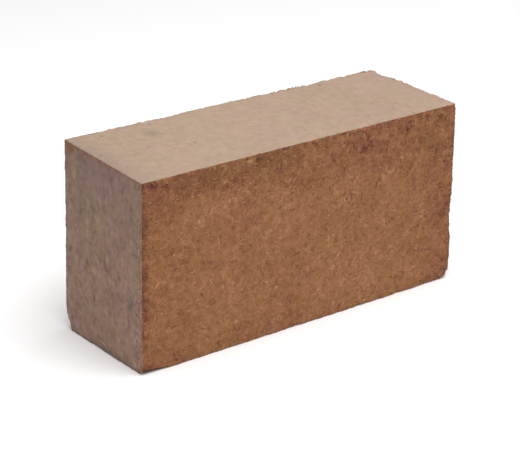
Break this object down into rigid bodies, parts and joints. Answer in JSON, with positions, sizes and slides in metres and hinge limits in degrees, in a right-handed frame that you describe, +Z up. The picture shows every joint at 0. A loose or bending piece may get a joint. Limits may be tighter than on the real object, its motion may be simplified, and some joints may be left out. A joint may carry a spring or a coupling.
{
  "type": "coconut coir bale",
  "caption": "Small oblong bale of hard-pressed coconut coir with flat granular faces, layered narrow sides, worn edges and chipped corners.",
  "frame": {"origin": "middle of the flat base that the bale stands on", "axes": "+X along the bale's length, -Y out of its large front face, +Z up"},
  "size_m": [0.2014, 0.0709, 0.1018],
  "materials": {
    "pressed_coir": "dry, matt, pressed coconut pith with short fibres, orange-brown and granular on the press-plate faces, greyer and smoother on the mould-wall faces"
  },
  "bodies": {
    "root": {"coir_bale": "pressed_coir"}
  },
  "joints": []
}
